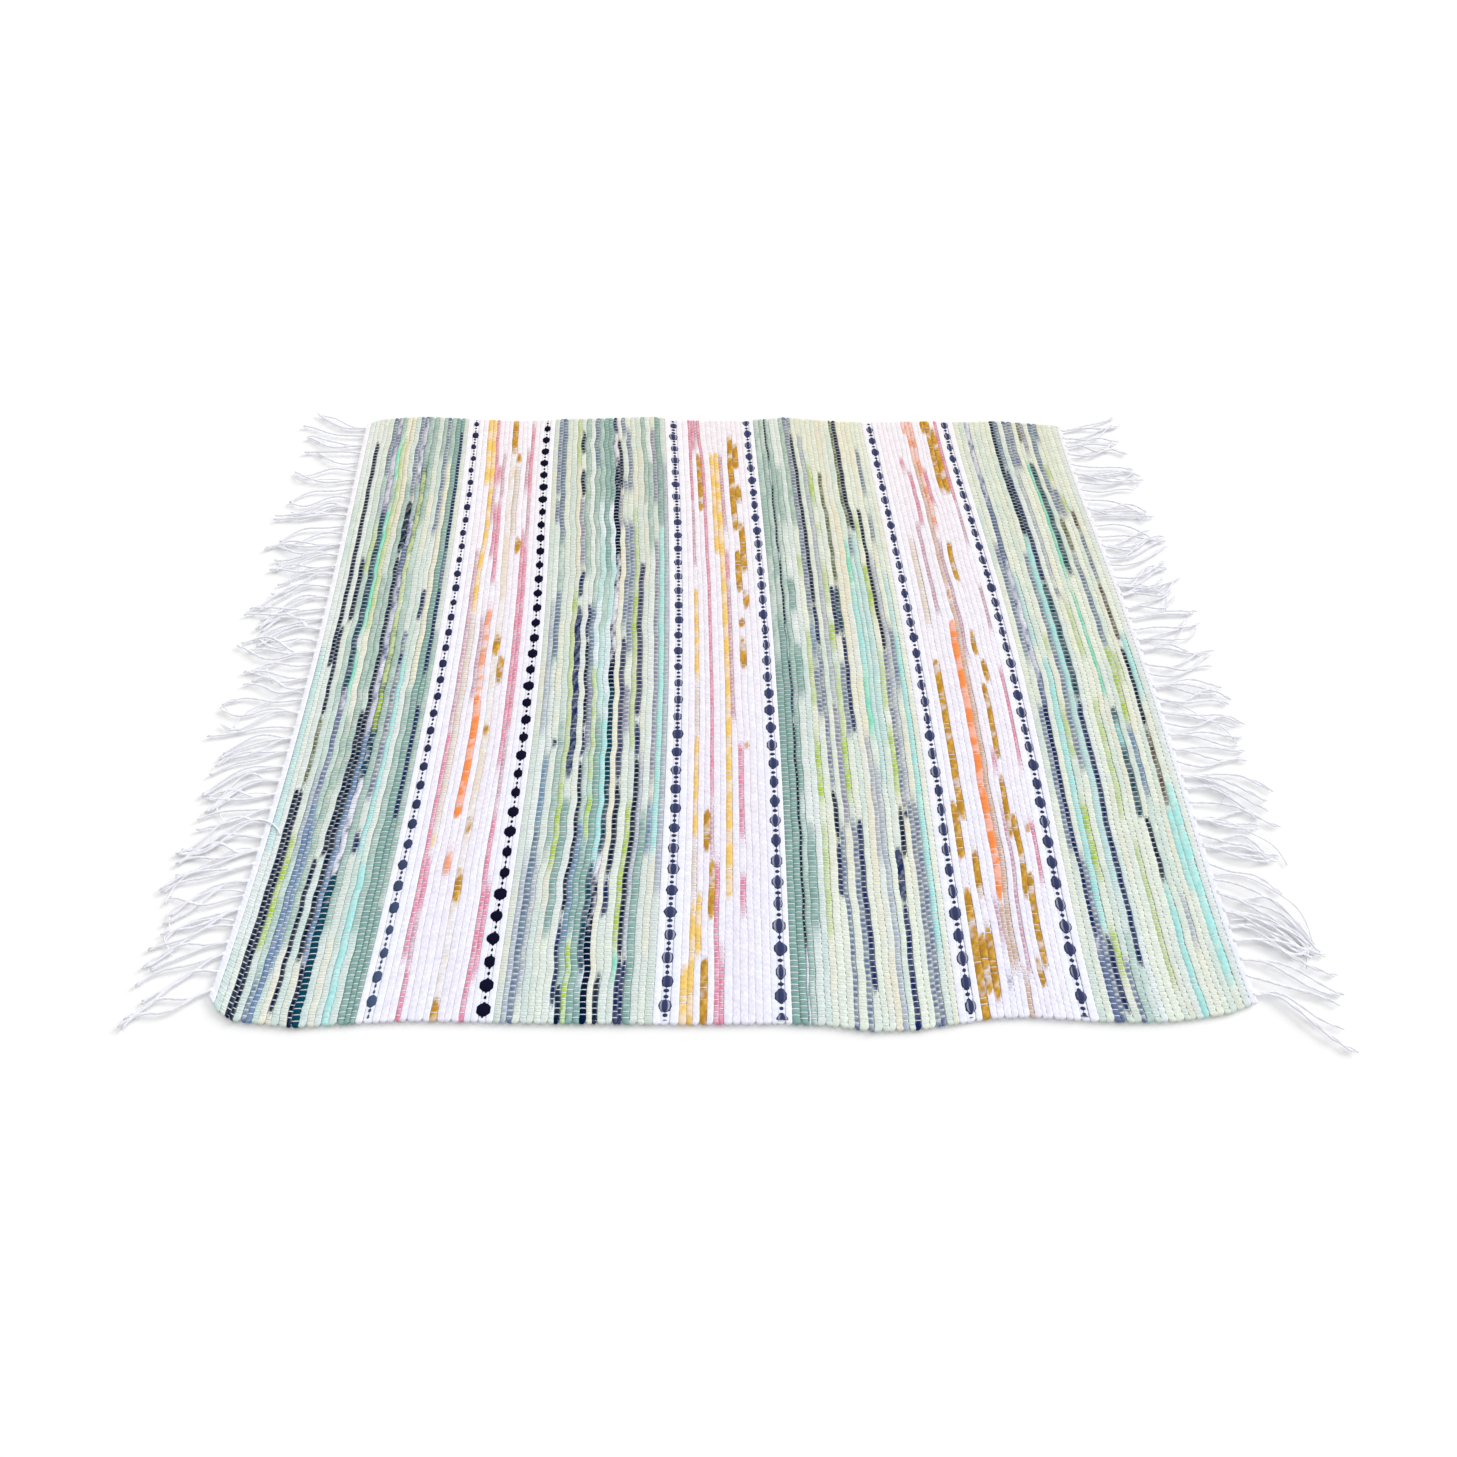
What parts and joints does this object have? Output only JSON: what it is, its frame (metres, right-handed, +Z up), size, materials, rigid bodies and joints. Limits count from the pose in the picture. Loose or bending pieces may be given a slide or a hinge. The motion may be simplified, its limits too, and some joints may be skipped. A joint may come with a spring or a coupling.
{
  "type": "bath mat",
  "caption": "Flat-woven cotton rag bath mat with knotted fringe at both ends, green and pale colour bands and beaded dark cord stripes, which folds in half for storing.",
  "frame": {"origin": "middle of the underside, on the surface that the mat lies on", "axes": "+X along the warp, from the left fringe to the right fringe; +Y along the rag strips, from the near selvedge to the far one; +Z up out of the pile side"},
  "size_m": [0.9, 0.6336, 0.005],
  "materials": {
    "green_rag": "matt plain-woven cotton rag in pale sage, mint and grey-green strips with navy, lime and aqua streaks",
    "pale_rag": "matt plain-woven cotton rag in pinkish-white strips with peach, mustard, orange and coral streaks",
    "white_rag": "matt white cotton rag rows on both sides of a beaded cord",
    "dyed_cord": "matt space-dyed navy cotton cord that surfaces as beads",
    "heading_cotton": "matt white cotton weft rows that lock the ends of the weave",
    "warp_cotton": "matt thin white cotton yarn",
    "fringe_cotton": "soft white twisted cotton yarn, slightly loosened at the tips"
  },
  "bodies": {
    "left_half": {"heading_left": "heading_cotton", "green_band_1": "green_rag", "white_border_1": "white_rag", "dotted_cord_1": "dyed_cord", "pale_band_1": "pale_rag", "white_border_2": "white_rag", "dotted_cord_2": "dyed_cord", "green_band_2": "green_rag", "white_border_3": "white_rag", "dotted_cord_3": "dyed_cord", "pale_band_2_left": "pale_rag", "warp_left": "warp_cotton", "tassels_left_01": "fringe_cotton", "tassels_left_02": "fringe_cotton", "tassels_left_03": "fringe_cotton", "tassels_left_04": "fringe_cotton", "tassels_left_05": "fringe_cotton", "tassels_left_06": "fringe_cotton", "tassels_left_07": "fringe_cotton", "tassels_left_08": "fringe_cotton", "tassels_left_09": "fringe_cotton", "tassels_left_10": "fringe_cotton", "tassels_left_11": "fringe_cotton", "tassels_left_12": "fringe_cotton", "tassels_left_13": "fringe_cotton", "tassels_left_14": "fringe_cotton", "tassels_left_15": "fringe_cotton", "tassels_left_16": "fringe_cotton"},
    "right_half": {"pale_band_2_right": "pale_rag", "white_border_4": "white_rag", "dotted_cord_4": "dyed_cord", "green_band_3": "green_rag", "white_border_5": "white_rag", "dotted_cord_5": "dyed_cord", "pale_band_3": "pale_rag", "white_border_6": "white_rag", "dotted_cord_6": "dyed_cord", "green_band_4": "green_rag", "heading_right": "heading_cotton", "warp_right": "warp_cotton", "tassels_right_01": "fringe_cotton", "tassels_right_02": "fringe_cotton", "tassels_right_03": "fringe_cotton", "tassels_right_04": "fringe_cotton", "tassels_right_05": "fringe_cotton", "tassels_right_06": "fringe_cotton", "tassels_right_07": "fringe_cotton", "tassels_right_08": "fringe_cotton", "tassels_right_09": "fringe_cotton", "tassels_right_10": "fringe_cotton", "tassels_right_11": "fringe_cotton", "tassels_right_12": "fringe_cotton", "tassels_right_13": "fringe_cotton", "tassels_right_14": "fringe_cotton", "tassels_right_15": "fringe_cotton", "tassels_right_16": "fringe_cotton"}
  },
  "joints": [
    {"name": "fold_in_half", "type": "hinge", "parent": "left_half", "child": "right_half", "pos_m": [0, 0, 0.0065], "axis": [0, -1, 0], "range_deg": [0, 180]}
  ]
}
